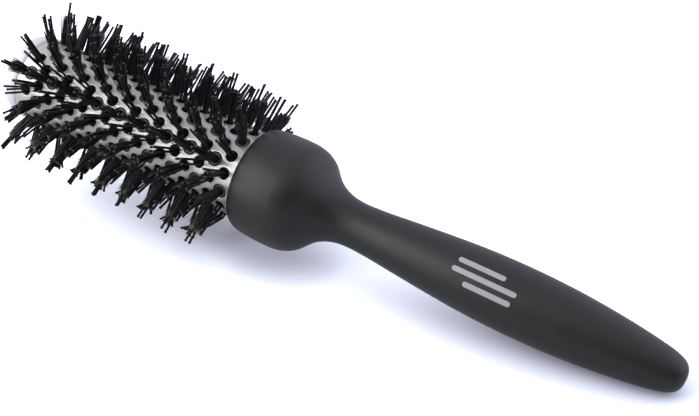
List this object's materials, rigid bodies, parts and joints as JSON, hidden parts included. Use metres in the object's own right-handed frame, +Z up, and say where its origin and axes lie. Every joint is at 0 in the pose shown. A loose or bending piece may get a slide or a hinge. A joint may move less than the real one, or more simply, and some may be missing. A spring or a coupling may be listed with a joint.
{
  "type": "round barrel brush",
  "caption": "Round thermal hairbrush: perforated silver barrel with boar and nylon tufts standing through its holes, white tip cap, flared collar and slim soft black handle.",
  "frame": {"origin": "on the table the brush lies on, under the middle of its bounding box", "axes": "+Z up; +X from the barrel's tip towards the end of the handle, level with the table; the brush lies as it comes to rest, on two rows of bristle tips and the belly of the handle, so its own axis drops 8.12 degrees towards the handle end"},
  "size_m": [0.2622, 0.0628, 0.0711],
  "materials": {
    "silver_ceramic_coat": "satin silver-white ceramic coat",
    "white_plastic": "smooth white",
    "core_plastic": "plain moulded black",
    "handle_plastic": "plain moulded black",
    "soft_touch_black": "soft-touch, satin charcoal black",
    "black_nylon": "drawn nylon, slight sheen",
    "boar_bristle": "natural bristle, near black with gold-brown tips"
  },
  "bodies": {
    "root": {"barrel_tube": "silver_ceramic_coat", "tip_cap": "white_plastic", "spreader_core": "core_plastic", "handle_core": "handle_plastic", "soft_grip": "soft_touch_black", "bristle_strip_01": "black_nylon", "bristle_strip_02": "black_nylon", "bristle_strip_03": "black_nylon", "bristle_strip_04": "black_nylon", "bristle_strip_05": "black_nylon", "bristle_strip_06": "black_nylon", "bristle_strip_07": "black_nylon", "bristle_strip_08": "black_nylon", "bristle_strip_09": "black_nylon", "bristle_strip_10": "black_nylon", "boar_row_01": "boar_bristle", "boar_row_02": "boar_bristle", "boar_row_03": "boar_bristle", "boar_row_04": "boar_bristle", "boar_row_05": "boar_bristle", "boar_row_06": "boar_bristle", "boar_row_07": "boar_bristle", "boar_row_08": "boar_bristle", "boar_row_09": "boar_bristle", "boar_row_10": "boar_bristle"}
  },
  "joints": []
}
